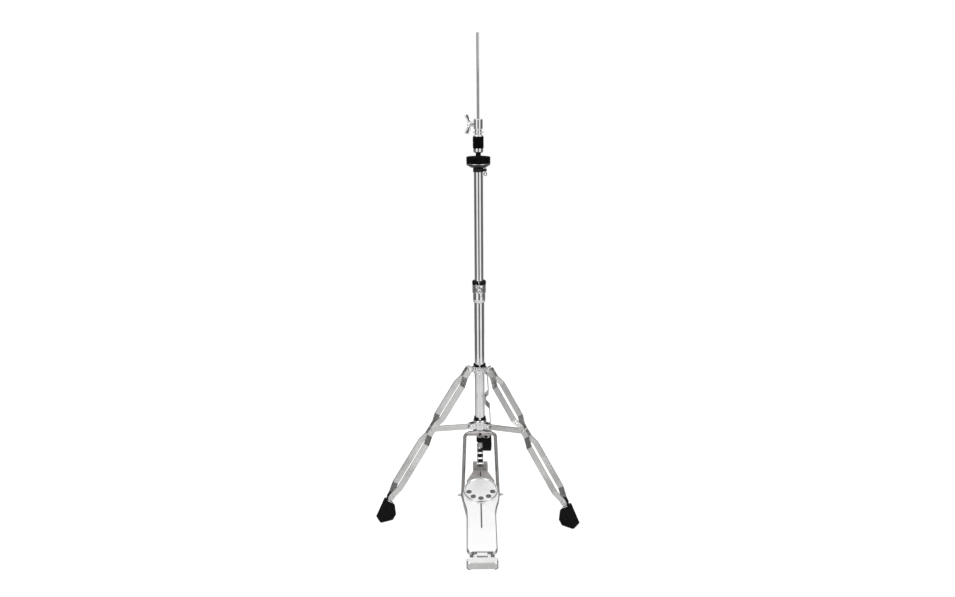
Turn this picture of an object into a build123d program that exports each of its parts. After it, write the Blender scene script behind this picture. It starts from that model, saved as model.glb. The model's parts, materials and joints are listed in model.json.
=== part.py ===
from build123d import *
import math
import os

# A hi-hat stand: folding tripod, two-stage tube, pull rod with clutch, and a chain-driven pedal.
# Modelled with the tube's axis on Z and the floor at Z = 0, in millimetres, pedal towards -Y.
# At the end everything moves sideways together, so the origin is below the middle of the outline.

# Driving dimensions
BASE_TUBE_R = 12.7          # one-inch base tube
UPPER_TUBE_R = 11.1         # seven-eighths-inch upper tube
TUBE_WALL = 1.2
ROD_R = 3.0                 # pull rod
LOWER_ROD_R = 4.0
PIVOT_R = 3.0
RUN = 0.05                  # radial clearance of a running fit
GAP = 0.4                   # clearance between bodies that only pass each other

ROD_TOP = 1180.0
BASE_TUBE_LOW, BASE_TUBE_TOP = 178.0, 582.0
UPPER_TUBE_LOW, UPPER_TUBE_TOP = 430.0, 869.3
CASTING_LOW, CASTING_TOP = 170.6, 194.0
SPIGOT_TOP = 200.0

TRIPOD_AZIMUTH = {"left": 205.4, "right": 325.4, "rear": 85.4}
LEG_PIVOT = (30.5, 365.0)   # radius and height of a leg's top pivot
BRACE_PIVOT = (28.0, 205.0)
LEG_END = (259.9, 50.0)     # where a leg meets its foot
LEG_LENGTH = math.dist(LEG_PIVOT, LEG_END)
LEG_ANGLE = math.atan2(LEG_END[0] - LEG_PIVOT[0], LEG_PIVOT[1] - LEG_END[1])
KNEE = 179.0                # along the leg, from its pivot to the brace's joint
KNEE_AT = (LEG_PIVOT[0] + KNEE * math.sin(LEG_ANGLE), LEG_PIVOT[1] - KNEE * math.cos(LEG_ANGLE))
BRACE_LENGTH = math.dist(BRACE_PIVOT, KNEE_AT)
BRACE_ANGLE = math.atan2(KNEE_AT[1] - BRACE_PIVOT[1], KNEE_AT[0] - BRACE_PIVOT[0])
STRIP_WIDTH, STRIP_THICK = 17.2, 2.0
STRIP_NARROW, STRIP_WIDE = 5.7, 16.4   # a strip's offset from the middle of its leg
TONGUE_HALF = 4.3           # half thickness of what lies between the strips
FOOT_HALF_WIDTH = 16.25

HINGE = (-301.0, 13.1)      # heel hinge, Y and Z
BOARD_SLOPE = 12.5
CHAIN_TOP = 145.0
CHAIN_PITCH = 15.0
CHAIN_LINKS = 4
CHAIN_END_Y = -2.0
POST_Y = -18.0              # the pedal frame's uprights
FRAME_R = 4.5
FRAME_TOP = 188.0
FRAME_FLOOR = 5.0
SIDE_BOLT = (47.0, -20.2, 10.0)      # on the bend between the floor run and the upright
BEND_ALLOWANCE = 0.4        # keeps flat fasteners clear of the bent rod

HEIGHT_BOLT_Z = 575.0
LEG_BOLT_Z = 366.0
CLUTCH_BOLT_Z = 975.0
SEAT_PIVOT_Z = 872.3
SEAT_LOW = 873.7
TILT_SCREW_X = 16.5
COUPLER_MIDDLE, COUPLER_HALF = 345.0, 14.0
HEEL_FRONT, HEEL_BACK, HEEL_TOP = -334.0, -311.0, 18.5
SLEEVE_R, SLEEVE_STEM_R, SLEEVE_BORE = 6.25, 6.0, 5.4
FELT_TOP, SLEEVE_TOP = 900.8, 908.5
EAR_INNER = 3.4
BRACE_HALF = 3.0
STRIP_END = LEG_LENGTH - 2.0
FOOT_RIVET = LEG_LENGTH - 10.6
FOOT_MOUTH = LEG_LENGTH + 0.4
CLEVIS_TOP, CLEVIS_LOW = 155.5, 137.0
SPRING_LOW, SPRING_TOP = SPIGOT_TOP, 288.0
SPRING_WIRE_R, SPRING_R, SPRING_TURNS = 1.0, 7.5, 11
HEIGHT_WING_TURN = 25.0
BRACKET_HALF, BRACKET_FRONT, BRACKET_BACK = 19.7, -26.0, 9.0
BRACKET_LOW, BRACKET_TOP = 60.0, 93.0
CHAIN_POCKET_HALF = 8.6
BOARD_TOP, BOARD_UNDER, BOARD_RIM = 7.0, 3.0, -3.0
BOARD_HALF, FLARE_HALF = 36.4, 46.8
BOARD_HEEL, FLARE_START, FLARE_END, BOARD_END = 6.5, 127.0, 198.0, 250.0
DISC_AT, DISC_R = 210.5, 43.5
HOLE_RING_R, HOLE_R = 31.0, 6.8
GROOVE = (81.5, 166.0)
TOE_SCREW_X, TOE_SCREW_AT = (-11.0, 11.0), 233.7

UP = (Align.CENTER, Align.CENTER, Align.MIN)


def rod(radius, low, high, x=0.0, y=0.0):
    """A cylinder standing on Z."""
    return Pos(x, y, low) * Cylinder(radius, high - low, align=UP)


def ring(outer, inner, low, high):
    return rod(outer, low, high) - rod(inner, low - 1, high + 1)


def rod_x(radius, low, high, y, z):
    """A cylinder lying along X."""
    return Pos(low, y, z) * Rot(0, 90, 0) * Cylinder(radius, high - low, align=UP)


def rod_y(radius, low, high, x, z):
    """A cylinder lying along Y."""
    return Pos(x, low, z) * Rot(-90, 0, 0) * Cylinder(radius, high - low, align=UP)


def block(x, y, z):
    """A box between pairs of limits."""
    size = [high - low for low, high in (x, y, z)]
    return Pos(*[(low + high) / 2 for low, high in (x, y, z)]) * Box(*size)


def turned(*points):
    """A closed profile of radius and height, turned about Z."""
    return revolve(Plane.XZ * make_face(Polyline(*points, close=True)), Axis.Z)


def hexagon(across, low, high, x=0.0, y=0.0):
    """A hexagonal prism standing on Z, by its width across flats."""
    sketch = RegularPolygon(across / 2, 6, major_radius=False)
    return Pos(x, y, low) * extrude(sketch, high - low)


def around(name):
    """The turn that takes a piece made along +X to one leg of the tripod."""
    return Rot(0, 0, TRIPOD_AZIMUTH[name])


def on_tripod(make):
    """One copy of a piece at each leg."""
    return [around(name) * make() for name in TRIPOD_AZIMUTH]


# Tubes, rod and spring

def base_tube():
    return ring(BASE_TUBE_R, BASE_TUBE_R - TUBE_WALL, BASE_TUBE_LOW, BASE_TUBE_TOP)


def upper_tube():
    return ring(UPPER_TUBE_R, UPPER_TUBE_R - TUBE_WALL, UPPER_TUBE_LOW, UPPER_TUBE_TOP)


def upper_pull_rod():
    body = rod(ROD_R, COUPLER_MIDDLE, ROD_TOP)
    return chamfer(body.edges().sort_by(Axis.Z)[-1], 1.0)


def rod_coupler():
    """The hexagon nut that joins the two lengths of the pull rod."""
    body = hexagon(11, COUPLER_MIDDLE - COUPLER_HALF, COUPLER_MIDDLE + COUPLER_HALF)
    body -= rod(LOWER_ROD_R, COUPLER_MIDDLE - COUPLER_HALF, COUPLER_MIDDLE)
    return body - rod(ROD_R, COUPLER_MIDDLE, COUPLER_MIDDLE + COUPLER_HALF)


def lower_pull_rod():
    return rod(LOWER_ROD_R, CLEVIS_TOP, COUPLER_MIDDLE)


def return_spring():
    """The coil that lifts the pull rod, standing on the casting's spigot."""
    height = SPRING_TOP - SPRING_LOW - 2 * SPRING_WIRE_R
    path = Pos(0, 0, SPRING_LOW + SPRING_WIRE_R) * Helix(height / SPRING_TURNS, height, SPRING_R)
    start = Plane(path @ 0, z_dir=path % 0)
    return sweep(start * Circle(SPRING_WIRE_R), path, is_frenet=True)


def spring_collar():
    """The collar on the pull rod that the spring pushes up."""
    return ring(9.5, LOWER_ROD_R, SPRING_TOP, SPRING_TOP + 7)


# Base casting and pedal frame

def frame_path():
    """Heel, floor corner, upright, top bar, and back down the other side."""
    side = [(22.8, HEEL_BACK - 16, FRAME_FLOOR), (33.0, -119.0, FRAME_FLOOR), (47.5, POST_Y, FRAME_FLOOR),
            (39.5, POST_Y, FRAME_TOP)]
    other = [(-x, y, z) for x, y, z in reversed(side)]
    return FilletPolyline(*side, *other, radius=12.0)


def frame_rod():
    path = frame_path()
    return sweep(Plane(path @ 0, z_dir=path % 0) * Circle(FRAME_R), path)


def pedal_frame():
    return frame_rod() - rod_x(2.5, -70, 70, *SIDE_BOLT[1:])


def frame_side_bolts():
    inner = SIDE_BOLT[0] - FRAME_R - BEND_ALLOWANCE
    shank = rod_x(2.5, inner, SIDE_BOLT[0] + 14, *SIDE_BOLT[1:])
    head = rod_x(4.2, inner - 2.5, inner, *SIDE_BOLT[1:])
    bolt = shank + head
    return [bolt, mirror(bolt, Plane.YZ)]


def frame_side_nuts():
    outer = SIDE_BOLT[0] + FRAME_R + BEND_ALLOWANCE
    body = Pos(outer, *SIDE_BOLT[1:]) * Rot(0, 90, 0) * hexagon(8, 0, 3.2)
    nut = body - rod_x(2.5, outer - 1, outer + 5, *SIDE_BOLT[1:])
    return [nut, mirror(nut, Plane.YZ)]


def base_casting():
    """Foot of the base tube, with the cross lug that holds the pedal frame."""
    shell = turned((LOWER_ROD_R + GAP, CASTING_LOW), (9, CASTING_LOW), (10.5, 174), (15.5, 180), (18.6, 185.5),
                   (18.6, CASTING_TOP - 1.5), (17.1, CASTING_TOP), (BASE_TUBE_R, CASTING_TOP),
                   (BASE_TUBE_R, BASE_TUBE_LOW), (BASE_TUBE_R - TUBE_WALL, BASE_TUBE_LOW),
                   (BASE_TUBE_R - TUBE_WALL, SPIGOT_TOP), (LOWER_ROD_R + GAP, SPIGOT_TOP))
    lug = rod_x(6.4, -31.0, 31.0, POST_Y, FRAME_TOP)
    web = block((-15, 15), (POST_Y, -13.5), (FRAME_TOP - 6, FRAME_TOP + 6))
    tube_bore = rod(BASE_TUBE_R, BASE_TUBE_LOW, CASTING_TOP + 1)
    body = shell + ((lug + web) - tube_bore)
    return body - frame_rod() - rod_y(3.5, POST_Y - 8, POST_Y, 0, FRAME_TOP)


def casting_screw():
    """Socket screw that clamps the pedal frame's top bar in the lug."""
    front = POST_Y - 6.0
    body = rod_y(3.5, front, POST_Y - FRAME_R + 1, 0, FRAME_TOP)
    socket = Pos(0, front - 1, FRAME_TOP) * Rot(-90, 0, 0) * hexagon(4, 0, 2.2)
    return body - socket - frame_rod()


def heel_outline():
    return Pos(0, (HEEL_FRONT + HEEL_BACK) / 2) * RectangleRounded(73, HEEL_BACK - HEEL_FRONT, 9)


def heel_plate():
    """Cast heel block that ties the frame's ends together, with the hinge's ears behind it."""
    body = Pos(0, 0, 2) * extrude(heel_outline(), HEEL_TOP - 2)
    body = chamfer(body.faces().sort_by(Axis.Z)[-1].outer_wire().edges(), 2.0)
    body += block((-17.5, 17.5), (HEEL_BACK - 2, HINGE[0] + 5.5), (2, 6.5))
    for side in (-1, 1):
        low, high = sorted((side * 12.7, side * 17.5))
        ear = rod_x(5.5, low, high, *HINGE)
        arm = block((low, high), (HEEL_BACK - 2, HINGE[0]), (HINGE[1] - 5.5, HINGE[1] + 5.4))
        foot = block((low, high), (HINGE[0] - 5.5, HINGE[0] + 5.5), (6.0, HINGE[1]))
        body += ear + arm + foot
    return body - rod_x(2.5, -28, 28, *HINGE) - frame_rod()


def heel_pads():
    """Two rubber pads under the heel plate's ends."""
    layer = extrude(heel_outline(), 2)
    pad = layer & block((27.8, 40), (HEEL_FRONT - 1, HEEL_BACK + 1), (-1, 3))
    return [pad, mirror(pad, Plane.YZ)]


def heel_hinge_pin():
    return rod_x(2.5, -18.0, 18.0, *HINGE)


# Height collar and seat

def height_collar():
    """Clamp at the top of the base tube, with a boss for the wing bolt."""
    shell = turned((BASE_TUBE_R, 539), (13.2, 539), (14.6, 541), (15.5, 548), (15.5, 564), (17.1, 565.5),
                   (17.1, 584.5), (16.1, 586), (BASE_TUBE_R, 586))
    boss = rod_y(8.0, -23, -13.5, 0, HEIGHT_BOLT_Z)
    boss -= rod(BASE_TUBE_R, 530, 600)
    return shell + boss - rod_y(PIVOT_R + RUN, -24, -13, 0, HEIGHT_BOLT_Z)


def bush_split():
    """The slit in front that lets a nylon ring be clamped."""
    return block((-3.5, 3.5), (-25, 0), (BASE_TUBE_LOW, UPPER_TUBE_TOP))


def height_collar_bush():
    """Nylon ring that guides the upper tube."""
    body = turned((UPPER_TUBE_R + RUN, BASE_TUBE_TOP), (BASE_TUBE_R, BASE_TUBE_TOP), (BASE_TUBE_R, 586),
                  (17.3, 586), (17.3, 593.5), (15.8, 595), (UPPER_TUBE_R + RUN, 595))
    return body - bush_split()


def seat_boss():
    """Head of the upper tube, with the rocker rib and the lug of the tilt screw."""
    body = turned((ROD_R + RUN, UPPER_TUBE_TOP), (UPPER_TUBE_R, UPPER_TUBE_TOP), (UPPER_TUBE_R, 863.3),
                  (12.5, 863.3), (12.9, 864.3), (12.9, 871.2), (12.0, 872.3), (ROD_R + RUN, 872.3))
    rib = rod_y(1.0, -9, 9, 0, SEAT_PIVOT_Z) - rod(5, 870, 874)
    lug = block((11.5, TILT_SCREW_X + 3.5), (-4, 4), (864.8, 870.8))
    lug -= rod(12.0, 860, 873)
    lug = fillet(lug.edges().filter_by(Axis.Z).sort_by(Axis.X)[-2:], 3)
    return body + rib + lug - rod(2.0 + RUN, 860, 873, TILT_SCREW_X)


def tilt_screw():
    """Thumb screw that tips the lower cymbal's seat."""
    thumb = rod_y(4.6, -1.2, 1.2, TILT_SCREW_X, 857.8) - rod_y(2.2, -3, 3, TILT_SCREW_X, 856.9)
    shank = rod(2.0, 859.8, SEAT_LOW - 0.3, TILT_SCREW_X)
    return shank + rod(3.2, 861.5, 863.1, TILT_SCREW_X) + thumb


def seat_cup():
    return turned((SLEEVE_STEM_R, SEAT_LOW), (17.5, SEAT_LOW), (26.5, 878.9), (28.7, 880.3),
                  (28.7, 881.9), (SLEEVE_STEM_R, 881.9))


def seat_washer():
    return ring(28.9, SLEEVE_STEM_R, 881.9, 883.4)


def seat_felt():
    """Thick felt washer with a softly domed top."""
    return turned((SLEEVE_STEM_R, 883.4), (29, 883.4), (29, 897), (27.6, 899), (20, 900.2), (8, FELT_TOP),
                  (SLEEVE_STEM_R, FELT_TOP))


def seat_sleeve():
    """Sleeve that centres the lower cymbal; its shoulder stands on the felt."""
    return turned((SLEEVE_BORE, SEAT_LOW), (SLEEVE_STEM_R, SEAT_LOW), (SLEEVE_STEM_R, FELT_TOP),
                  (SLEEVE_R, FELT_TOP), (SLEEVE_R, SLEEVE_TOP), (SLEEVE_BORE, SLEEVE_TOP))


# Clutch

def clutch_body():
    shell = turned((ROD_R + RUN, 963), (9.4, 963), (10.9, 965), (10.9, 985), (9.6, 987), (ROD_R + RUN, 987))
    boss = rod_x(5.5, -15, -9, 0, CLUTCH_BOLT_Z)
    body = shell + boss
    return body - rod_x(PIVOT_R + RUN, -16, -4, 0, CLUTCH_BOLT_Z) - rod(ROD_R + RUN, 960, 990)


def clutch_spindle():
    """Threaded tube that carries the felts."""
    return ring(6.0, ROD_R + GAP, 909, 963)


def clutch_lock_nuts():
    lower = turned((6, 948), (11.4, 948), (8.2, 952.5), (8.2, 955.6), (6, 955.6))
    upper = turned((6, 957.2), (8.2, 957.2), (8.2, 961.8), (7.4, 963), (6, 963))
    return [lower, upper]


def clutch_washers():
    return [ring(12.2, 6, 946.4, 948), ring(13.0, 6, 955.6, 957.2)]


def clutch_felts():
    """Two felts with the upper cymbal's place between them."""
    middle = 932.7
    return [ring(13.25, 6, 919, middle - 0.15), ring(13.25, 6, middle + 0.15, 946.4)]


def clutch_lower_nut():
    return turned((6, 909), (10.4, 909), (11.9, 911), (11.9, 917.5), (11.2, 919), (6, 919))


# Wing bolts

def wing_bolt(shank, half_span):
    """A wing bolt on +Z, its shank below Z = 0 and its wings in the XZ plane."""
    hub = turned((0, 0), (5.4, 0), (5.4, 4), (4.4, 9), (3.4, 10), (0, 10))
    outline = make_face(Polyline((2, 1.5), (9, 2), (half_span - 3, 4), (half_span, 8), (half_span - 0.5, 16),
                                 (half_span - 6, 17), (10, 11), (2, 9), close=True))
    outline = fillet(outline.vertices().sort_by(Axis.X)[2:], 1.5)
    wing = extrude(Plane.XZ * outline, 1.7, both=True)
    return rod(PIVOT_R, -shank, 1) + hub + wing + mirror(wing, Plane.YZ)


FACING_FRONT = Rot(90, 0, 0)
FACING_LEFT = Rot(0, -90, 0)


def height_wing_bolt():
    return Pos(0, -23.4, HEIGHT_BOLT_Z) * FACING_FRONT * Rot(0, 0, 90 + HEIGHT_WING_TURN) * wing_bolt(9, 20)


def leg_wing_bolt():
    return Pos(0, -21.4, LEG_BOLT_Z) * FACING_FRONT * Rot(0, 0, 90) * wing_bolt(7, 19)


def clutch_wing_bolt():
    return Pos(-15.4, 0, CLUTCH_BOLT_Z) * FACING_LEFT * wing_bolt(11, 23)


# Pull rod's foot, and the chain

def rod_bumper():
    """Rubber stop that meets the casting when the pedal is up."""
    body = ring(9.5, LOWER_ROD_R, CLEVIS_TOP, CASTING_LOW - GAP)
    return fillet(body.edges().filter_by(GeomType.CIRCLE).group_by(SortBy.RADIUS)[-1], 2.5)


def chain_clevis():
    """Screwed to the lower pull rod; its tongue carries the chain's top pin."""
    head = rod(5.8, 149, CLEVIS_TOP)
    tongue = block((-6.0, 6.0), (-6.0, 6.0), (CLEVIS_LOW, 149.5))
    tongue = fillet(tongue.edges().filter_by(Axis.X).group_by(Axis.Z)[0], 5.0)
    side_flats = block((-3.2, 3.2), (-8, 8), (CLEVIS_LOW - 1, 141.0))
    return head + tongue - side_flats - rod_x(1.8 + RUN, -10, 10, 0, CHAIN_TOP)


def chain_tilt():
    """How far the chain leans from upright, in degrees, about X at its top pin."""
    return math.degrees(math.asin(CHAIN_END_Y / (CHAIN_LINKS * CHAIN_PITCH)))


def on_chain(shape):
    """Hangs a piece made below the origin from the chain's top pin."""
    return Pos(0, 0, CHAIN_TOP) * Rot(chain_tilt(), 0, 0) * shape


def chain_rollers():
    reel = ring(4.9, 1.8, -4.4, 4.4)
    lying = Rot(0, 90, 0) * reel
    return [on_chain(Pos(0, 0, -CHAIN_PITCH * n) * lying) for n in range(1, CHAIN_LINKS + 1)]


def chain_plates():
    """Outer and inner links in turn, a pair of waisted plates each."""
    plates = []
    for link in range(CHAIN_LINKS):
        inner_face = 6.3 if link % 2 == 0 else 4.6
        middle = -CHAIN_PITCH * (link + 0.5)
        outline = Circle(5.6)
        ends = [Pos(0, step) * outline for step in (-CHAIN_PITCH / 2, CHAIN_PITCH / 2)]
        face = ends[0] + ends[1] + Rectangle(7.6, CHAIN_PITCH)
        face -= [Pos(0, step) * Circle(1.8) for step in (-CHAIN_PITCH / 2, CHAIN_PITCH / 2)]
        plate = extrude(Plane.YZ * face, 1.4)
        for shift in (inner_face, -inner_face - 1.4):
            plates.append(on_chain(Pos(shift, 0, middle) * plate))
    return plates


def chain_pins():
    """Five pins; the lowest one has a collar at each end."""
    pins = [rod_x(1.8, -8.0, 8.0, 0, -CHAIN_PITCH * n) for n in range(CHAIN_LINKS + 1)]
    for low in (-8.4, 6.1):
        pins[-1] += rod_x(4.2, low, low + 2.3, 0, -CHAIN_PITCH * CHAIN_LINKS)
    return [on_chain(pin) for pin in pins]


# Footboard

def on_board(shape):
    """Takes a piece from the board's plane, X across and Y up the board, to the pedal."""
    slope = math.radians(BOARD_SLOPE)
    plane = Plane((0, *HINGE), x_dir=(1, 0, 0), z_dir=(0, -math.sin(slope), math.cos(slope)))
    return plane * shape


def board_outline():
    """Straight heel, swept out to the toe and rounded over."""
    corner = 14.0
    middle = ((BOARD_HALF + FLARE_HALF) / 2, (FLARE_START + FLARE_END) / 2)
    heel = Line((0, BOARD_HEEL), (BOARD_HALF - corner, BOARD_HEEL))
    turn = TangentArc((BOARD_HALF - corner, BOARD_HEEL), (BOARD_HALF, BOARD_HEEL + corner), tangent=(1, 0))
    side = Line((BOARD_HALF, BOARD_HEEL + corner), (BOARD_HALF, FLARE_START))
    sweep_out = TangentArc((BOARD_HALF, FLARE_START), middle, tangent=(0, 1))
    sweep_back = TangentArc(middle, (FLARE_HALF, FLARE_END), tangent=sweep_out % 1)
    toe = TangentArc((FLARE_HALF, FLARE_END), (0, BOARD_END), tangent=(0, 1))
    back = Line((0, BOARD_END), (0, BOARD_HEEL))
    half = make_face(heel + turn + side + sweep_out + sweep_back + toe + back)
    return half + mirror(half, Plane.YZ)


def groove_outline(width):
    return Pos(0, sum(GROOVE) / 2) * Rot(0, 0, 90) * SlotOverall(GROOVE[1] - GROOVE[0], width)


def footboard():
    outline = board_outline()
    slab = Pos(0, 0, BOARD_RIM) * extrude(outline, BOARD_TOP - BOARD_RIM)
    slab = fillet(slab.faces().sort_by(Axis.Z)[-1].outer_wire().edges(), 4.0)
    hollow = Pos(0, 0, BOARD_RIM - 1) * extrude(offset(outline, -3.0), BOARD_UNDER - BOARD_RIM + 1)
    groove = Pos(0, 0, BOARD_TOP - 2.0) * extrude(groove_outline(3.6), 5)
    web = block((-12, 12), (0, BOARD_HEEL + 4), (-3.0, 4.5))
    barrel = rod_x(5.5, -12.3, 12.3, 0, 0)
    bore = rod_x(2.5 + RUN, -40, 40, 0, 0)
    board = slab - hollow - groove + web + barrel - bore
    for x in TOE_SCREW_X:
        board -= rod(2.5, BOARD_RIM, BOARD_TOP + 1, x, TOE_SCREW_AT)
    return on_board(board)


def hole_places():
    """Where the toe plate's five holes are, in the board's plane."""
    return [(HOLE_RING_R * math.sin(math.radians(a)), DISC_AT - HOLE_RING_R * math.cos(math.radians(a)))
            for a in (-76.0, -38.5, 0.0, 38.5, 76.0)]


def toe_plate():
    """Round plate with a rolled edge and five holes."""
    disc = turned((0, BOARD_TOP), (DISC_R - 4, BOARD_TOP), (DISC_R - 1.5, BOARD_TOP + 0.3), (DISC_R, BOARD_TOP + 1.6),
                  (DISC_R, BOARD_TOP + 4.2), (DISC_R - 1.2, BOARD_TOP + 5.6), (DISC_R - 3.2, BOARD_TOP + 5.6),
                  (DISC_R - 4.6, BOARD_TOP + 4.0), (0, BOARD_TOP + 4.0))
    body = Pos(0, DISC_AT, 0) * disc
    for x, y in hole_places():
        body -= rod(HOLE_R, BOARD_TOP - 1, BOARD_TOP + 8, x, y)
    return on_board(body)


def footboard_grips():
    """Rubber studs in the toe plate's holes and a rubber strip in the board's groove."""
    studs = [rod(HOLE_R, BOARD_TOP, BOARD_TOP + 3.4, x, y) for x, y in hole_places()]
    strip = Pos(0, 0, BOARD_TOP - 2.0) * extrude(groove_outline(3.6), 1.6)
    return [on_board(shape) for shape in studs + [strip]]


def toe_bracket():
    """Cast arm that takes the chain's end behind the toe plate."""
    flare = make_face(Polyline((-BRACKET_HALF, 290), (-BRACKET_HALF, 281), (-36, 246), (-26, 235), (26, 235),
                               (36, 246), (BRACKET_HALF, 281), (BRACKET_HALF, 290), close=True))
    foot = on_board(Pos(0, 0, BOARD_TOP - 12) * extrude(flare, 15))
    foot -= on_board(Pos(0, 0, BOARD_RIM - 20) * extrude(board_outline(), BOARD_TOP - BOARD_RIM + 20))
    foot -= on_board(rod(DISC_R, BOARD_RIM, BOARD_TOP + 20, 0, DISC_AT))
    tower = block((-BRACKET_HALF, BRACKET_HALF), (BRACKET_FRONT, BRACKET_BACK), (BRACKET_LOW, BRACKET_TOP))
    pocket = block((-CHAIN_POCKET_HALF, CHAIN_POCKET_HALF), (-14, 30), (72, 130))
    slot = block((-1.4, 1.4), (-48, -10), (62, BRACKET_TOP - 4))
    body = foot + tower
    for side in (-1, 1):
        low, high = sorted((side * (BRACKET_HALF - 4), side * BRACKET_HALF))
        body += block((low, high), (BRACKET_FRONT, BRACKET_FRONT + 9), (BRACKET_TOP - 1, BRACKET_TOP + 5))
    for x in (-13.2, -7.6, 7.6, 13.2):
        body -= block((x - 0.8, x + 0.8), (BRACKET_FRONT - 1, BRACKET_FRONT + 3), (64, BRACKET_TOP + 1))
    return body - pocket - slot


def toe_screws():
    """Two screws that hold the bracket and the toe plate to the board, from below."""
    screws = []
    for x in TOE_SCREW_X:
        shank = rod(2.5, BOARD_UNDER, BOARD_TOP, x, TOE_SCREW_AT)
        head = rod(4.5, BOARD_UNDER - 2.6, BOARD_UNDER, x, TOE_SCREW_AT)
        screws.append(on_board(shank + head))
    return screws


# Tripod

def brace_collar():
    """Ring on the base tube with an ear pair for each brace."""
    body = turned((BASE_TUBE_R + RUN, CASTING_TOP + GAP), (16.5, CASTING_TOP + GAP), (17.5, 196), (17.5, 219),
                  (16.3, 221), (14.6, 221), (14.6, 214), (BASE_TUBE_R + RUN, 214))
    for azimuth in TRIPOD_AZIMUTH.values():
        for side in (-1, 1):
            low, high = sorted((side * EAR_INNER, side * (EAR_INNER + 4)))
            cheek = block((14, BRACE_PIVOT[0]), (low, high), (BRACE_PIVOT[1] - 7, BRACE_PIVOT[1] + 9))
            cheek += rod_y(7, low, high, *BRACE_PIVOT)
            cheek -= rod_y(PIVOT_R, -20, 20, *BRACE_PIVOT) + rod(15.5, 190, 230)
            body += Rot(0, 0, azimuth) * cheek
    boss = rod_y(4.5, -20, -16, 0, 213)
    return body + boss - rod_y(2.0, -21, -17, 0, 213)


def brace_collar_bush():
    """Nylon ring between the collar and the tube."""
    body = turned((BASE_TUBE_R + RUN, 214), (14.6, 214), (14.6, 221), (15.4, 221), (15.4, 227.5), (14.4, 228.5),
                  (BASE_TUBE_R + RUN, 228.5))
    return body - bush_split()


def brace_pivot_pin():
    reach = EAR_INNER + 4
    pin = rod_y(PIVOT_R, -reach - 1, reach + 1, *BRACE_PIVOT)
    for low in (-reach - 2.2, reach):
        pin += rod_y(5.0, low, low + 2.2, *BRACE_PIVOT)
    return pin


def brace_pivot_pins():
    return on_tripod(brace_pivot_pin)


def brace():
    """Bar from the collar to the leg's knee, with its knee boss."""
    bar = Pos(BRACE_LENGTH / 2, 0) * SlotCenterToCenter(BRACE_LENGTH, 14)
    bar = extrude(Plane.XZ * bar, BRACE_HALF, both=True)
    bar = fillet(bar.edges().filter_by(Plane.XZ), 1.2)
    boss = rod_y(6.5, -TONGUE_HALF, TONGUE_HALF, BRACE_LENGTH, 0)
    body = bar + boss - rod_y(PIVOT_R + RUN, -10, 10, 0, 0)
    return Pos(BRACE_PIVOT[0], 0, BRACE_PIVOT[1]) * Rot(0, -math.degrees(BRACE_ANGLE), 0) * body


def leg_collar():
    """Ring that slides on the base tube with a tongue for each leg."""
    body = turned((13.9, 350), (15.2, 350), (16.2, 352), (16.2, 369.5), (13.9, 369.5))
    for azimuth in TRIPOD_AZIMUTH.values():
        tongue = block((14.5, LEG_PIVOT[0]), (-TONGUE_HALF, TONGUE_HALF), (LEG_PIVOT[1] - 8, LEG_PIVOT[1] + 4.5))
        tongue += rod_y(7, -TONGUE_HALF, TONGUE_HALF, *LEG_PIVOT)
        tongue -= rod_y(PIVOT_R, -20, 20, *LEG_PIVOT) + rod(15, 340, 380)
        body += Rot(0, 0, azimuth) * tongue
    boss = rod_y(6.5, -21, -13, 0, LEG_BOLT_Z) - rod(14.5, 340, 380) - rod(16.0, 369.5, 380)
    return body + boss - rod_y(PIVOT_R + RUN, -22, -13.9, 0, LEG_BOLT_Z)


def leg_collar_bush():
    body = turned((BASE_TUBE_R + RUN, 349), (13.9, 349), (13.9, 369.5), (16.0, 369.5), (16.0, 374),
                  (14.8, 375.5), (BASE_TUBE_R + RUN, 375.5))
    return body - bush_split()


def leg_pivot_pin():
    reach = STRIP_NARROW + STRIP_THICK / 2 + GAP / 2
    pin = rod_y(PIVOT_R, -reach - 1, reach + 1, *LEG_PIVOT)
    for low in (-reach - 2.4, reach):
        pin += rod_y(5.2, low, low + 2.4, *LEG_PIVOT)
    return pin


def leg_pivot_pins():
    return on_tripod(leg_pivot_pin)


def on_leg(shape):
    """Takes a piece from the leg's own axes, X down the leg and Y across, to the tripod's +X."""
    plane = Plane((LEG_PIVOT[0], 0, LEG_PIVOT[1]), x_dir=(math.sin(LEG_ANGLE), 0, -math.cos(LEG_ANGLE)),
                  z_dir=(math.cos(LEG_ANGLE), 0, math.sin(LEG_ANGLE)))
    return plane * shape


def leg_strips():
    """The two flat strips, close at the pivot, the knee and the foot, and wide between."""
    start = -STRIP_WIDTH / 2
    steps = [(start, STRIP_NARROW), (24, STRIP_NARROW), (46, STRIP_WIDE), (KNEE - 37, STRIP_WIDE),
             (KNEE - 17, STRIP_NARROW), (KNEE + 17, STRIP_NARROW), (KNEE + 40, STRIP_WIDE),
             (LEG_LENGTH - 44, STRIP_WIDE), (LEG_LENGTH - 17, STRIP_NARROW), (STRIP_END, STRIP_NARROW)]
    path = FilletPolyline(*steps, radius=9.0)
    section = Plane(path @ 0, x_dir=(0, 1, 0), z_dir=(1, 0, 0)) * Rectangle(STRIP_THICK, STRIP_WIDTH)
    strip = sweep(section, path)
    outline = Pos((start + STRIP_END) / 2, 0) * SlotOverall(STRIP_END - start, STRIP_WIDTH)
    strip &= extrude(Plane.XZ * outline, 30, both=True)
    strip -= rod_y(PIVOT_R + RUN, -30, 30, 0, 0)
    face = STRIP_NARROW + STRIP_THICK / 2
    for at in (KNEE, FOOT_RIVET):
        head = rod_y(5.0, face - 0.2, face + 2.2, at, 0)
        strip += fillet(head.edges().sort_by(Axis.Y)[-1], 1.2)
    return [on_leg(strip), on_leg(mirror(strip, Plane.XZ))]


def foot_neck():
    """The rubber between the strips' ends."""
    half = STRIP_NARROW - STRIP_THICK / 2
    return block((LEG_LENGTH - 21, FOOT_MOUTH + 8), (-half, half), (-6, 6))


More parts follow.
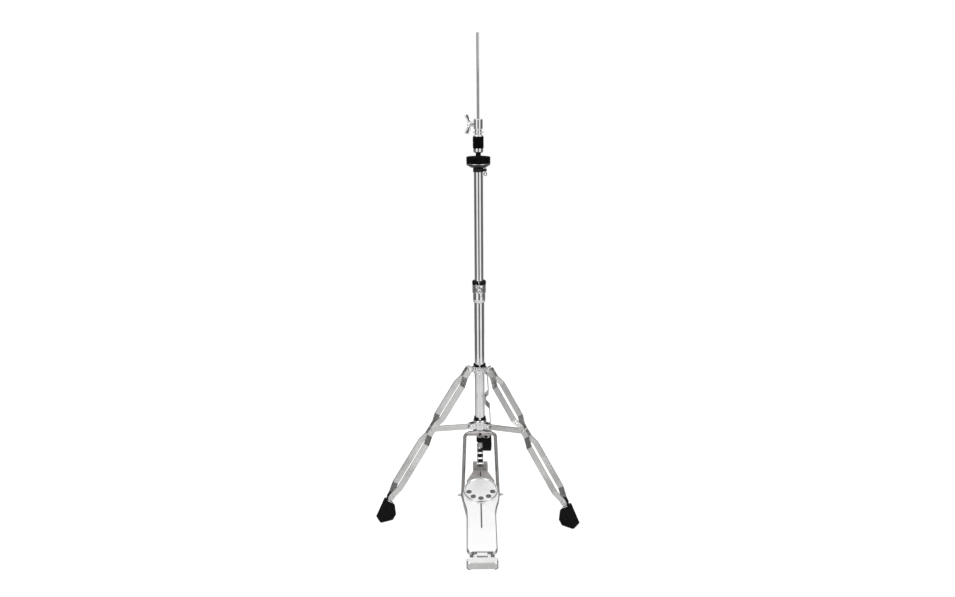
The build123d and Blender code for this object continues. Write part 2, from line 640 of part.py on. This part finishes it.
def leg_foot_clip():
    """Plated plate between the strips' ends and the rubber foot."""
    plate = Pos(STRIP_END, 0, -2.5) * Rot(0, 90, 0) * extrude(RectangleRounded(17, 22, 4), FOOT_MOUTH - STRIP_END)
    return on_leg(plate - foot_neck())


def leg_foot():
    """Wedge of rubber with its mouth square to the leg and a neck between the strips."""
    along, across = (math.sin(LEG_ANGLE), -math.cos(LEG_ANGLE)), (math.cos(LEG_ANGLE), math.sin(LEG_ANGLE))
    mouth = [(LEG_PIVOT[0] + FOOT_MOUTH * along[0] + side * across[0],
              LEG_PIVOT[1] + FOOT_MOUTH * along[1] + side * across[1]) for side in (-15.0, 6.0)]
    outline = make_face(Polyline(*mouth, (290.5, 4.5), (285, 0), (255, 0), (245.8, 13), close=True))
    outline = fillet(outline.vertices().group_by(Axis.Y)[1:], 2.5)
    wedge = extrude(Plane.XZ * outline, FOOT_HALF_WIDTH, both=True)
    wedge = chamfer(wedge.faces().filter_by(Axis.Y).edges(), 2.5)
    return wedge + on_leg(foot_neck())


def build():
    """Every node's name and its solids."""
    nodes = {make.__name__: make() for make in (
        base_tube, base_casting, casting_screw, height_collar, height_collar_bush, height_wing_bolt,
        pedal_frame, frame_side_bolts, frame_side_nuts, heel_plate, heel_pads, heel_hinge_pin,
        upper_tube, seat_boss, tilt_screw, seat_cup, seat_washer, seat_felt, seat_sleeve,
        clutch_body, clutch_spindle, clutch_lock_nuts, clutch_washers, clutch_felts, clutch_lower_nut,
        clutch_wing_bolt, upper_pull_rod, rod_coupler, lower_pull_rod, return_spring, spring_collar,
        rod_bumper, chain_clevis, chain_rollers, chain_plates, chain_pins,
        footboard, footboard_grips, toe_plate, toe_bracket, toe_screws,
        brace_collar, brace_collar_bush, brace_pivot_pins,
        leg_collar, leg_collar_bush, leg_pivot_pins, leg_wing_bolt)}
    for name in TRIPOD_AZIMUTH:
        turn = around(name)
        nodes[f"{name}_brace"] = turn * brace()
        nodes[f"{name}_leg_strips"] = [turn * strip for strip in leg_strips()]
        nodes[f"{name}_leg_foot"] = turn * leg_foot()
        nodes[f"{name}_leg_foot_clip"] = turn * leg_foot_clip()
    return nodes


def solids_of(shape):
    """The solids of one shape or of a list of shapes."""
    shapes = shape if isinstance(shape, list) else [shape]
    return [solid for item in shapes for solid in item.solids()]


def main():
    os.makedirs("parts", exist_ok=True)
    solids = {name: solids_of(shape) for name, shape in build().items()}
    box = Compound([solid for group in solids.values() for solid in group]).bounding_box()
    middle = box.center()
    shift = Pos(-middle.X, -middle.Y, -box.min.Z)
    print("shift", -middle.X, -middle.Y, -box.min.Z)
    for name, group in solids.items():
        moved = [shift * solid for solid in group]
        export_step(moved[0] if len(moved) == 1 else Compound(moved), f"parts/{name}.step")


if __name__ == "__main__":
    main()
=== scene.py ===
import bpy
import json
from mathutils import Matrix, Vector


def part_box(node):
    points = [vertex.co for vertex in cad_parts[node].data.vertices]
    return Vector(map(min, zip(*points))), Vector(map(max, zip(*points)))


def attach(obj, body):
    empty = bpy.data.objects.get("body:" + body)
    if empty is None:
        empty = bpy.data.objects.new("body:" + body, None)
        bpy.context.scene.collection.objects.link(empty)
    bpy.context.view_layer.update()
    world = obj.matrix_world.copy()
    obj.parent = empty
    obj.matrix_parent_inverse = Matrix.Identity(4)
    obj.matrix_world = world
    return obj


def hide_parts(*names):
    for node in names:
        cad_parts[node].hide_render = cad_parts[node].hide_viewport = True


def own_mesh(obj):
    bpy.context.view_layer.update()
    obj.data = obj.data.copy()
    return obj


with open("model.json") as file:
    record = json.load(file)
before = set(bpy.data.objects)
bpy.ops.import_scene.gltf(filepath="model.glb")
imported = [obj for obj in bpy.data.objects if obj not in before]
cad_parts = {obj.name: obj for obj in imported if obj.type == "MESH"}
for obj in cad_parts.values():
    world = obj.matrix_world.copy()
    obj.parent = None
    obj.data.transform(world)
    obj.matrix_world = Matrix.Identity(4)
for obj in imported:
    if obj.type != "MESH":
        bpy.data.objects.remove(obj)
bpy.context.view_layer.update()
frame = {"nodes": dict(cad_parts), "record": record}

import bmesh
import bpy
import json
import math
from mathutils import Matrix, Vector, noise

# Looks of the hi-hat stand. The tube's axis is read from the base tube, and every piece's
# place from its CAD node. Lengths are in metres.

NODES = frame["nodes"]
LEGS = ("left", "right", "rear")


def middle(name):
    """The centre of a CAD node's box."""
    low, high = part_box(name)
    return (low + high) / 2


AXIS = Vector((middle("base_tube").x, middle("base_tube").y, 0.0))


# Materials

WHITE = (1.0, 1.0, 1.0, 1.0)
UNSTRETCHED = (1.0, 1.0, 1.0)
NOISE_ROUGHNESS = 0.55
ROUGHNESS_SPREAD = (0.35, 0.65)   # values of the noise that give the smoothest and the roughest
TINT_SPREAD = (0.3, 0.7)          # values of the noise that give the darkest and the lightest
METAL_CLOUDS, METAL_CLOUD_DETAIL, METAL_GRAIN_DETAIL = 35.0, 3.0, 5.0
MOULDED_CLOUDS, MOULDED_CLOUD_DETAIL, MOULDED_GRAIN_DETAIL = 120.0, 4.0, 6.0
SHEEN_ROUGHNESS = 0.5


def grey(level):
    """A colour without a tint."""
    return (level, level, level)


def shader(name):
    """A new material, with its node tree and its principled shader."""
    material = bpy.data.materials.new(name)
    material.use_nodes = True
    tree = material.node_tree
    return material, tree, tree.nodes["Principled BSDF"]


def add(tree, kind, **settings):
    """A node with its inputs set by name and its properties by lower-case name."""
    node = tree.nodes.new(kind)
    for key, value in settings.items():
        if key in node.inputs:
            node.inputs[key].default_value = value
        else:
            setattr(node, key, value)
    return node


def surface_noise(tree, scale, detail, stretch=UNSTRETCHED):
    """Noise that stays with the piece, in the piece's own metres."""
    place = add(tree, "ShaderNodeTexCoord")
    mapping = add(tree, "ShaderNodeMapping", Scale=stretch)
    grain = add(tree, "ShaderNodeTexNoise", Scale=scale, Detail=detail, Roughness=NOISE_ROUGHNESS)
    tree.links.new(place.outputs["Object"], mapping.inputs["Vector"])
    tree.links.new(mapping.outputs["Vector"], grain.inputs["Vector"])
    return grain.outputs["Fac"]


def ranged(tree, factor, source, target, interpolation="LINEAR"):
    """Maps a factor from a source range to a target range."""
    node = add(tree, "ShaderNodeMapRange", interpolation_type=interpolation)
    for key, value in zip(("From Min", "From Max", "To Min", "To Max"), (*source, *target)):
        node.inputs[key].default_value = value
    tree.links.new(factor, node.inputs["Value"])
    return node.outputs["Result"]


def tinted(tree, factor, dark, light):
    """Mixes two colours by a factor."""
    ramp = add(tree, "ShaderNodeValToRGB")
    first, last = ramp.color_ramp.elements
    first.position, last.position = TINT_SPREAD
    first.color, last.color = (*dark, 1.0), (*light, 1.0)
    tree.links.new(factor, ramp.inputs["Fac"])
    return ramp.outputs["Color"]


def grained(tree, principled, clouds, fine, colours, roughness, strength, distance):
    """Colour from soft clouds, and roughness and a bump from a fine grain."""
    tree.links.new(tinted(tree, clouds, *colours), principled.inputs["Base Color"])
    tree.links.new(ranged(tree, fine, ROUGHNESS_SPREAD, roughness), principled.inputs["Roughness"])
    bump = add(tree, "ShaderNodeBump", Strength=strength, Distance=distance)
    tree.links.new(fine, bump.inputs["Height"])
    tree.links.new(bump.outputs["Normal"], principled.inputs["Normal"])


def metal(name, dark, light, smooth, rough, grain=900.0, stretch=UNSTRETCHED, strength=0.05,
          distance=0.00005, metallic=1.0):
    """Metal with faint cloudiness in its colour, and a fine grain."""
    material, tree, principled = shader(name)
    principled.inputs["Metallic"].default_value = metallic
    clouds = surface_noise(tree, METAL_CLOUDS, METAL_CLOUD_DETAIL)
    fine = surface_noise(tree, grain, METAL_GRAIN_DETAIL, stretch)
    grained(tree, principled, clouds, fine, (dark, light), (smooth, rough), strength, distance)
    return material


def moulded(name, dark, light, smooth, rough, grain, strength, distance, gloss, sheen=0.0):
    """Rubber, nylon, enamel or felt: a dark body colour with a grain."""
    material, tree, principled = shader(name)
    principled.inputs["Sheen Weight"].default_value = sheen
    principled.inputs["Sheen Roughness"].default_value = SHEEN_ROUGHNESS
    principled.inputs["Specular IOR Level"].default_value = gloss
    clouds = surface_noise(tree, MOULDED_CLOUDS, MOULDED_CLOUD_DETAIL)
    fine = surface_noise(tree, grain, MOULDED_GRAIN_DETAIL)
    grained(tree, principled, clouds, fine, (dark, light), (smooth, rough), strength, distance)
    return material


MATERIALS = {
    "chrome": metal("chrome_plate", grey(0.76), grey(0.84), 0.02, 0.06,
                    strength=0.02, distance=0.00001),
    # Painted shade: a darker copy of the pale board metal for sideways faces; its higher metallic
    # and lower roughness also give real dark reflections.
    "wall_painted_shade": metal("wall_painted_shade", (0.56, 0.555, 0.55), (0.66, 0.655, 0.65), 0.10, 0.18,
                         grain=500.0),
    "satin_chrome": metal("satin_chrome", (0.60, 0.595, 0.59), (0.68, 0.675, 0.67), 0.20, 0.30,
                          grain=420.0, stretch=(1.0, 1.0, 0.25), strength=0.03),
    "polished_alloy": metal("bright_alloy", grey(0.93), grey(0.97), 0.30, 0.40,
                            grain=500.0, metallic=0.6),
    "cast_alloy": metal("cast_alloy", (0.46, 0.44, 0.43), (0.60, 0.58, 0.57), 0.36, 0.52,
                        grain=700.0, strength=0.3, distance=0.0002),
    "satin_steel": metal("satin_steel", (0.28, 0.268, 0.26), (0.36, 0.345, 0.333), 0.22, 0.34,
                         grain=300.0, stretch=(6.0, 6.0, 0.2), strength=0.12),
    "ground_rod": metal("ground_rod", grey(0.46), grey(0.54), 0.08, 0.14,
                        grain=500.0, stretch=(4.0, 4.0, 0.2), strength=0.02, distance=0.00001),
    "zinc_steel": metal("zinc_steel", (0.55, 0.55, 0.56), grey(0.68), 0.28, 0.42, grain=600.0),
    "black_steel": moulded("black_steel", grey(0.006), grey(0.014), 0.3, 0.45,
                           grain=800.0, strength=0.1, distance=0.0001, gloss=0.2),
    "black_rubber": moulded("black_rubber", grey(0.002), grey(0.006), 0.6, 0.8,
                            grain=1400.0, strength=0.35, distance=0.0002, gloss=0.07),
    "grey_rubber": moulded("grey_rubber", grey(0.10), grey(0.15), 0.7, 0.9,
                           grain=1400.0, strength=0.35, distance=0.0002, gloss=0.05),
    "black_nylon": moulded("black_nylon", grey(0.003), grey(0.007), 0.42, 0.55,
                           grain=1100.0, strength=0.15, distance=0.0001, gloss=0.08),
    "black_felt": moulded("black_felt", grey(0.001), grey(0.005), 0.9, 1.0,
                          grain=2600.0, strength=0.9, distance=0.0006, gloss=0.02, sheen=0.01),
}

SLOT_OF = {row["node"]: row["material_slot"] for row in frame["record"]["subparts"]}
BODIES = frame["record"]["behaviour"]["bodies"]
BODY_OF = {node: body for body, nodes in BODIES.items() for node in nodes}
for leg in LEGS:
    SLOT_OF[f"{leg}_leg_strips"] = SLOT_OF[f"{leg}_brace"] = "satin_chrome"
SLOT_OF["upper_pull_rod"] = "ground_rod"
for node, slot in SLOT_OF.items():
    mesh = NODES[node].data
    mesh.materials.clear()
    mesh.materials.append(MATERIALS[slot])


# Pieces

WELD_DISTANCE = 0.000002
FLAT_ANGLE = math.radians(0.5)    # faces that meet flatter than this become one
SHARP_ANGLE = math.radians(32)    # edges sharper than this are broken
EDGE_SEGMENTS = 2


def piece(name, shape, *nodes):
    """A mesh that is shown instead of CAD nodes and rides their body."""
    mesh = bpy.data.meshes.new(name)
    bmesh.ops.recalc_face_normals(shape, faces=shape.faces)
    shape.to_mesh(mesh)
    shape.free()
    mesh.materials.append(MATERIALS[SLOT_OF[nodes[0]]])
    mesh.shade_smooth()
    made = bpy.data.objects.new(name, mesh)
    bpy.context.scene.collection.objects.link(made)
    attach(made, BODY_OF[nodes[0]])
    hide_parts(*nodes)
    return made


def settled(made):
    """Applies a piece's modifiers."""
    bpy.context.view_layer.update()
    graph = bpy.context.evaluated_depsgraph_get()
    mesh = bpy.data.meshes.new_from_object(made.evaluated_get(graph))
    made.modifiers.clear()
    made.data = mesh


def welded(node):
    """A CAD node's mesh with its flat faces joined up."""
    shape = bmesh.new()
    shape.from_mesh(NODES[node].data)
    bmesh.ops.remove_doubles(shape, verts=shape.verts, dist=WELD_DISTANCE)
    bmesh.ops.dissolve_limit(shape, angle_limit=FLAT_ANGLE, verts=shape.verts, edges=shape.edges)
    return shape


def refined(node, width, shape=None):
    """A CAD node with its sharp edges broken, as a real casting or pressing has them.

    Its second material, a darker metal that paints shade, is there for the faces that edged()
    picks out.
    """
    made = piece(f"{node}_fine", shape or welded(node), node)
    # the darker metal that paints shade on the faces edged() picks out
    made.data.materials.append(MATERIALS["wall_painted_shade"])
    edge = made.modifiers.new("edge", "BEVEL")
    edge.width, edge.segments = width, EDGE_SEGMENTS
    edge.limit_method, edge.angle_limit = "ANGLE", SHARP_ANGLE
    normals = made.modifiers.new("normals", "WEIGHTED_NORMAL")
    normals.keep_sharp = False
    settled(made)


EDGES = {
    "toe_bracket": 0.0010, "base_casting": 0.0009,
    "height_collar": 0.0006, "height_collar_bush": 0.0005, "seat_boss": 0.0004,
    "seat_cup": 0.0004, "seat_washer": 0.0004, "seat_sleeve": 0.0002, "tilt_screw": 0.0004,
    "clutch_body": 0.0005, "clutch_lock_nuts": 0.0004, "clutch_washers": 0.0004,
    "clutch_lower_nut": 0.0004, "brace_collar": 0.0006, "brace_collar_bush": 0.0005,
    "brace_pivot_pins": 0.0006, "leg_collar": 0.0006, "leg_collar_bush": 0.0005,
    "chain_rollers": 0.0004, "chain_plates": 0.0003, "chain_pins": 0.0004,
    "chain_clevis": 0.0006, "rod_coupler": 0.0006, "casting_screw": 0.0003,
    "frame_side_bolts": 0.0006, "frame_side_nuts": 0.0005, "heel_pads": 0.0004,
    "footboard_grips": 0.0006, "heel_hinge_pin": 0.0005,
}
for leg in LEGS:
    EDGES[f"{leg}_brace"] = 0.0004
    EDGES[f"{leg}_leg_strips"] = 0.0003
    EDGES[f"{leg}_leg_foot_clip"] = 0.0004
for node, width in EDGES.items():
    refined(node, width)


BOARD_SLOPE = math.radians(12.5)
BOARD_UP = Vector((0.0, -math.sin(BOARD_SLOPE), math.cos(BOARD_SLOPE)))
TOP_FACE, UNDERSIDE = 0.96, -0.3  # cosines between a face's normal and the way up
PRESSED_EDGE = 0.0004


def edged(node, up):
    """A CAD node whose walls and turned-over edge get painted shade: a darker, glossier metal."""
    shape = welded(node)
    for face in shape.faces:
        # faces that look sideways get the darker metal: painted shade on the walls and turned-over
        # edge
        face.material_index = 1 if UNDERSIDE < face.normal.dot(up) < TOP_FACE else 0
    refined(node, PRESSED_EDGE, shape)


for node in ("footboard", "toe_plate"):
    edged(node, BOARD_UP)
edged("heel_plate", Vector((0.0, 0.0, 1.0)))


def bridged(shape, rings, others):
    """Joins each ring of points to its partner with quads."""
    for first, second in zip(rings, others):
        for step in range(len(first)):
            following = (step + 1) % len(first)
            shape.faces.new((first[step], first[following], second[following], second[step]))


def lathe(shape, profile, place, segments, closed=False):
    """Turns a profile of radius and height about the local Z axis."""
    turns = [2 * math.pi * step / segments for step in range(segments)]
    rings = []
    for radius, height in profile:
        corners = [Vector((radius * math.cos(turn), radius * math.sin(turn), height))
                   for turn in turns]
        rings.append([shape.verts.new(place @ corner) for corner in corners])
    bridged(shape, rings, rings[1:] + (rings[:1] if closed else []))
    if not closed:
        shape.faces.new(rings[0])
        shape.faces.new(rings[-1])


def resampled(points, step):
    """Points a step apart along a closed polyline."""
    found = []
    for start, end in zip(points, points[1:] + points[:1]):
        count = max(1, round(math.dist(start, end) / step))
        found += [tuple(a + (b - a) * index / count for a, b in zip(start, end))
                  for index in range(count)]
    return found


# Felts

FELT_BORE = 0.006
FELT_INSET = 0.0003               # leaves room for the uneven skin
FELT_STEP, FELT_SEGMENTS = 0.0011, 120
FELT_SKIN = ((900.0, 0.00016), (260.0, 0.00022))    # scale and height of each noise
SKIN_MARGIN, SKIN_TOP_MARGIN = 0.0005, 0.0002       # parts of a felt that stay even
SEAT_CROWN = 0.0014
FELT_PARTING = 0.00015            # half the gap between the clutch's felts


def felt_ring(shape, low, high, outer, inner, crown):
    """A pressed felt washer, softly rounded, with an uneven skin."""
    soft = min(0.0018, (high - low) * 0.06)
    profile = [(inner, low), (outer - soft, low), (outer - soft * 0.3, low + soft * 0.35),
               (outer, low + soft), (outer, high - soft - crown),
               (outer - soft * 0.35, high - soft * 0.35 - crown),
               (outer - soft * 1.2, high - crown), (outer * 0.65, high - crown * 0.3),
               (inner, high)]
    start = len(shape.verts)
    lathe(shape, resampled(profile, FELT_STEP), Matrix.Translation(AXIS), FELT_SEGMENTS,
          closed=True)
    shape.verts.ensure_lookup_table()
    for point in shape.verts[start:]:
        out = point.co - AXIS
        flat = Vector((out.x, out.y, 0.0))
        if flat.length < inner + SKIN_MARGIN:
            continue
        rough = sum(noise.noise(point.co * scale) * height for scale, height in FELT_SKIN)
        point.co += flat.normalized() * rough * (flat.length / outer)
        if low + SKIN_MARGIN < out.z < high - SKIN_TOP_MARGIN:
            point.co.z += rough * 0.5


def felts():
    """The seat's felt, and the two felts that grip the upper cymbal."""
    low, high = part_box("seat_felt")
    shape = bmesh.new()
    felt_ring(shape, low.z, high.z, (high.x - low.x) / 2 - FELT_INSET, FELT_BORE, SEAT_CROWN)
    piece("seat_felt_soft", shape, "seat_felt")
    low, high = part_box("clutch_felts")
    shape = bmesh.new()
    centre, outer = (low.z + high.z) / 2, (high.x - low.x) / 2 - FELT_INSET
    felt_ring(shape, low.z, centre - FELT_PARTING, outer, FELT_BORE, 0.0)
    felt_ring(shape, centre + FELT_PARTING, high.z, outer, FELT_BORE, 0.0)
    piece("clutch_felts_soft", shape, "clutch_felts")


# Screw threads

THREAD_BORE, THREAD_PITCH, THREAD_DEPTH = 0.0034, 0.001, 0.0005
THREAD_SEGMENTS, ROWS_PER_TURN = 48, 8


def spindle():
    """The clutch's threaded tube: a helical V thread on a thin wall."""
    low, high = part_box("clutch_spindle")
    outer, length = (high.x - low.x) / 2, high.z - low.z
    rows = int(length / THREAD_PITCH * ROWS_PER_TURN)
    shape = bmesh.new()

    def ring(height, radii):
        """A ring of points with a radius for each."""
        spins = [2 * math.pi * (step / THREAD_SEGMENTS) for step in range(THREAD_SEGMENTS)]
        return [shape.verts.new((AXIS.x + radius * math.cos(spin),
                                 AXIS.y + radius * math.sin(spin), height))
                for spin, radius in zip(spins, radii)]

    rings = []
    for row in range(rows + 1):
        height = low.z + length * row / rows
        phases = [((height - low.z) / THREAD_PITCH - step / THREAD_SEGMENTS) % 1.0
                  for step in range(THREAD_SEGMENTS)]
        rings.append(ring(height, [outer - THREAD_DEPTH * abs(2.0 * phase - 1.0)
                                   for phase in phases]))
    rings += [ring(height, [THREAD_BORE] * THREAD_SEGMENTS) for height in (high.z, low.z)]
    bridged(shape, rings, rings[1:] + rings[:1])
    piece("clutch_spindle_thread", shape, "clutch_spindle")


# Wing bolts

BOLT_SEGMENTS = 48
BOLT_HEAD = [(0.003, 0.0), (0.0054, 0.0), (0.0056, 0.0006), (0.0056, 0.0034), (0.005, 0.0062),
             (0.0044, 0.0088), (0.0036, 0.0098), (0.002, 0.0102), (0.0005, 0.0103)]
WING_ROOT, WING_ROOT_THICK, WING_TIP_THICK = 0.012, 0.0021, 0.0017   # half thicknesses
WING_SMOOTHING = 2


def wing_bolt(node, base, facing, span, shank):
    """A cast wing bolt along the local Z axis, with its wings along local X."""
    place = Matrix.Translation(base) @ facing
    shape = bmesh.new()
    tip = [(0.0005, -shank), (0.0026, -shank), (0.003, -shank + 0.0005)]
    lathe(shape, tip + BOLT_HEAD, place, BOLT_SEGMENTS)
    # A wing's lower edge outwards, then its upper edge back to the head.
    outline = [(0.002, 0.0012), (0.0095, 0.0016), (span - 0.003, 0.0032),
               (span + 0.0003, 0.0080), (span - 0.0004, 0.0168), (span - 0.0058, 0.0176),
               (0.0105, 0.0112), (0.002, 0.0092)]
    for side in (-1, 1):
        front, back = [], []
        for x, z in outline:
            thick = WING_ROOT_THICK if x < WING_ROOT else WING_TIP_THICK
            front.append(shape.verts.new(place @ Vector((side * x, -thick, z))))
            back.append(shape.verts.new(place @ Vector((side * x, thick, z))))
        for under, over in ((0, 7), (1, 6), (2, 5)):
            for layer in (front, back):
                shape.faces.new((layer[under], layer[under + 1], layer[over - 1], layer[over]))
        bridged(shape, [front], [back])
    made = piece(f"{node}_cast", shape, node)
    smooth = made.modifiers.new("smooth", "SUBSURF")
    smooth.levels = smooth.render_levels = WING_SMOOTHING
    settled(made)


def wing_bolts():
    """The bolts of the height collar, the leg collar and the clutch, each turned as it stands."""
    front = Matrix.Rotation(math.pi / 2, 4, "X")
    _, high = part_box("height_wing_bolt")
    wing_bolt("height_wing_bolt",
              Vector((AXIS.x, high.y - 0.009, middle("height_wing_bolt").z)),
              front @ Matrix.Rotation(math.radians(115), 4, "Z"), span=0.020, shank=0.009)
    _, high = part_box("leg_wing_bolt")
    wing_bolt("leg_wing_bolt",
              Vector((AXIS.x, high.y - 0.007, middle("leg_wing_bolt").z)),
              front @ Matrix.Rotation(math.radians(90), 4, "Z"), span=0.019, shank=0.007)
    _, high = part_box("clutch_wing_bolt")
    wing_bolt("clutch_wing_bolt",
              Vector((high.x - 0.011, AXIS.y, middle("clutch_wing_bolt").z)),
              Matrix.Rotation(-math.pi / 2, 4, "Y"), span=0.023, shank=0.011)


# Return spring and leg pivots

PIVOT_EDGE, PIVOT_CLEARANCE = 0.0006, 0.00006


def return_spring():
    """The coil inside the base tube, on a mesh of its own that nothing here shortens."""
    made = piece("return_spring_coil", welded("return_spring"), "return_spring")
    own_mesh(made)


def leg_pivots():
    """The leg pins, a hair thinner than their holes so that they turn freely."""
    shape = welded("leg_pivot_pins")
    for point in shape.verts:
        point.co -= point.normal * PIVOT_CLEARANCE
    refined("leg_pivot_pins", PIVOT_EDGE, shape)


# Rubber feet

FOOT_EDGE = 0.0006
FLANK_FACING, FLANK_AREA = 0.98, 0.0003
PANEL_MARGIN, PANEL_DEPTH = 0.0028, 0.0009


def rubber_feet():
    """Moulded feet with a sunk panel on each flank."""
    for leg in LEGS:
        node = f"{leg}_leg_foot"
        shape = welded(node)
        centre = middle(node)
        away = Vector((centre.x - AXIS.x, centre.y - AXIS.y, 0.0)).normalized()
        flank = Vector((-away.y, away.x, 0.0))
        sides = [face for face in shape.faces
                 if abs(face.normal.dot(flank)) > FLANK_FACING and face.calc_area() > FLANK_AREA]
        bmesh.ops.inset_individual(shape, faces=sides, thickness=PANEL_MARGIN,
                                   use_even_offset=True)
        bmesh.ops.inset_individual(shape, faces=sides, thickness=PANEL_DEPTH,
                                   depth=-PANEL_DEPTH, use_even_offset=True)
        refined(node, FOOT_EDGE, shape)


felts()
spindle()
wing_bolts()
return_spring()
leg_pivots()
rubber_feet()


# Stage

CAMERA_DISTANCE, CAMERA_HEIGHT = 1.801, 1.039
CAMERA_SIDE = -0.0042
CAMERA_PITCH, CAMERA_ROLL = math.radians(15.24), math.radians(-0.383)
CAMERA_TURN = math.radians(-0.55)
CAMERA_LENS, SENSOR = 28.02, 36.0
FLOOR_R, FLOOR_SEGMENTS = 1.4, 96
FLOOR_GREY, FLOOR_GLOW = 0.42, 0.72
LAMP_SIZE, LAMP_AIM = 1.0, (0.0, 0.0, 0.4)

# What polished metal mirrors, as degrees away from the front and grey levels: 0 is the
# camera's side, 180 is behind the stand.
ROOM_LEVELS = (
    (180.0, 0.22), (155.0, 0.20), (151.0, 0.60), (139.0, 0.60), (135.0, 0.16), (100.0, 0.16),
    (62.0, 0.11), (54.0, 1.05), (22.0, 1.05), (15.0, 0.16), (0.0, 0.16),
)
LOW_LEVELS = (
    (180.0, 0.72), (150.0, 0.68), (140.0, 0.32), (104.0, 0.30), (92.0, 0.80), (0.0, 0.84),
)
CEILING = (0.50, 0.70)            # heights of a direction between which the room turns white
LOW_DOWN = (-0.335, -0.355)       # and between which the low levels take over
LOW_SHARE = 0.92


def photographer():
    """The camera, in front of the stand and looking a little down on it."""
    data = bpy.data.cameras.new("view")
    data.lens, data.sensor_width = CAMERA_LENS, SENSOR
    camera = bpy.data.objects.new("view", data)
    bpy.context.scene.collection.objects.link(camera)
    about = Matrix.Translation(AXIS) @ Matrix.Rotation(CAMERA_TURN, 4, "Z")
    place = Matrix.Translation((CAMERA_SIDE, -CAMERA_DISTANCE, CAMERA_HEIGHT))
    pitch = Matrix.Rotation(math.pi / 2 - CAMERA_PITCH, 4, "X")
    camera.matrix_world = about @ place @ (pitch @ Matrix.Rotation(CAMERA_ROLL, 4, "Z"))
    bpy.context.scene.camera = camera


def unless_mirrored(tree, direct, mirrored):
    """One shader seen directly, and another seen in polished metal."""
    path = add(tree, "ShaderNodeLightPath")
    both = add(tree, "ShaderNodeMixShader")
    tree.links.new(path.outputs["Is Glossy Ray"], both.inputs["Fac"])
    tree.links.new(direct, both.inputs[1])
    tree.links.new(mirrored, both.inputs[2])
    return both.outputs[0]


def floor():
    """A pale floor that polished metal doesn't mirror."""
    mesh = bpy.data.meshes.new("floor")
    shape = bmesh.new()
    bmesh.ops.create_circle(shape, cap_ends=True, segments=FLOOR_SEGMENTS, radius=FLOOR_R)
    shape.to_mesh(mesh)
    shape.free()
    plane = bpy.data.objects.new("floor", mesh)
    plane.location = AXIS
    bpy.context.scene.collection.objects.link(plane)
    material, tree, principled = shader("pale_floor")
    for key, value in (("Base Color", (*grey(FLOOR_GREY), 1.0)), ("Roughness", 1.0),
                       ("Specular IOR Level", 0.0), ("Emission Color", WHITE),
                       ("Emission Strength", FLOOR_GLOW)):
        principled.inputs[key].default_value = value
    clear = add(tree, "ShaderNodeBsdfTransparent")
    seen = unless_mirrored(tree, principled.outputs[0], clear.outputs[0])
    tree.links.new(seen, tree.nodes["Material Output"].inputs["Surface"])
    mesh.materials.append(material)


def lamp(name, place, power):
    """A square softbox aimed at the stand."""
    data = bpy.data.lights.new(name, "AREA")
    data.size, data.energy = LAMP_SIZE, power
    light = bpy.data.objects.new(name, data)
    light.location = AXIS + Vector(place)
    aim = Vector(LAMP_AIM) - Vector(place)
    light.rotation_euler = aim.to_track_quat("-Z", "Y").to_euler()
    bpy.context.scene.collection.objects.link(light)


def banded(tree, factor, stops):
    """Grey levels by the angle away from the front; the factor is (1 + its cosine) / 2."""
    bands = add(tree, "ShaderNodeValToRGB")
    ramp = bands.color_ramp.elements
    for angle, level in stops:
        if angle == 180.0:
            stop = ramp[0]
        elif angle == 0.0:
            stop = ramp[-1]
        else:
            stop = ramp.new((math.cos(math.radians(angle)) + 1.0) / 2.0)
        stop.color = (*grey(level), 1.0)
    tree.links.new(factor, bands.inputs["Fac"])
    return bands.outputs["Color"]


def blended(tree, factor, first, second):
    """Mixes two colours, each a socket or a plain colour."""
    mix = add(tree, "ShaderNodeMix", data_type="RGBA")
    tree.links.new(factor, mix.inputs["Factor"])
    for key, colour in (("A", first), ("B", second)):
        if isinstance(colour, tuple):
            mix.inputs[key].default_value = colour
        else:
            tree.links.new(colour, mix.inputs[key])
    return mix.outputs["Result"]


def surroundings():
    """White light from everywhere, and a studio that only polished metal shows.

    It mirrors softboxes in front, a dim room beside them, white above and its own low levels.
    """
    world = bpy.data.worlds.new("studio")
    bpy.context.scene.world = world
    world.use_nodes = True
    tree = world.node_tree
    tree.nodes.clear()
    place = add(tree, "ShaderNodeTexCoord")
    split = add(tree, "ShaderNodeSeparateXYZ")
    flat = add(tree, "ShaderNodeCombineXYZ")
    unit = add(tree, "ShaderNodeVectorMath", operation="NORMALIZE")
    facing = add(tree, "ShaderNodeVectorMath", operation="DOT_PRODUCT")
    facing.inputs[1].default_value = (0.0, -1.0, 0.0)
    tree.links.new(place.outputs["Generated"], split.inputs[0])
    tree.links.new(split.outputs["X"], flat.inputs["X"])
    tree.links.new(split.outputs["Y"], flat.inputs["Y"])
    tree.links.new(flat.outputs[0], unit.inputs[0])
    tree.links.new(unit.outputs[0], facing.inputs[0])
    height = split.outputs["Z"]
    turned = ranged(tree, facing.outputs["Value"], (-1.0, 1.0), (0.0, 1.0))
    above = ranged(tree, height, CEILING, (0.0, 1.0), "SMOOTHSTEP")
    below = ranged(tree, height, LOW_DOWN, (0.0, LOW_SHARE), "SMOOTHSTEP")
    room = blended(tree, above, banded(tree, turned, ROOM_LEVELS), WHITE)
    studio = blended(tree, below, room, banded(tree, turned, LOW_LEVELS))
    mirrored = add(tree, "ShaderNodeBackground")
    tree.links.new(studio, mirrored.inputs["Color"])
    plain = add(tree, "ShaderNodeBackground", Color=WHITE)
    seen = unless_mirrored(tree, plain.outputs[0], mirrored.outputs[0])
    tree.links.new(seen, add(tree, "ShaderNodeOutputWorld").inputs["Surface"])


bpy.context.scene.view_settings.view_transform = "Standard"
photographer()
floor()
surroundings()
lamp("key", (-1.2, -1.6, 2.2), 14.0)
lamp("fill", (1.4, -1.2, 1.6), 8.0)
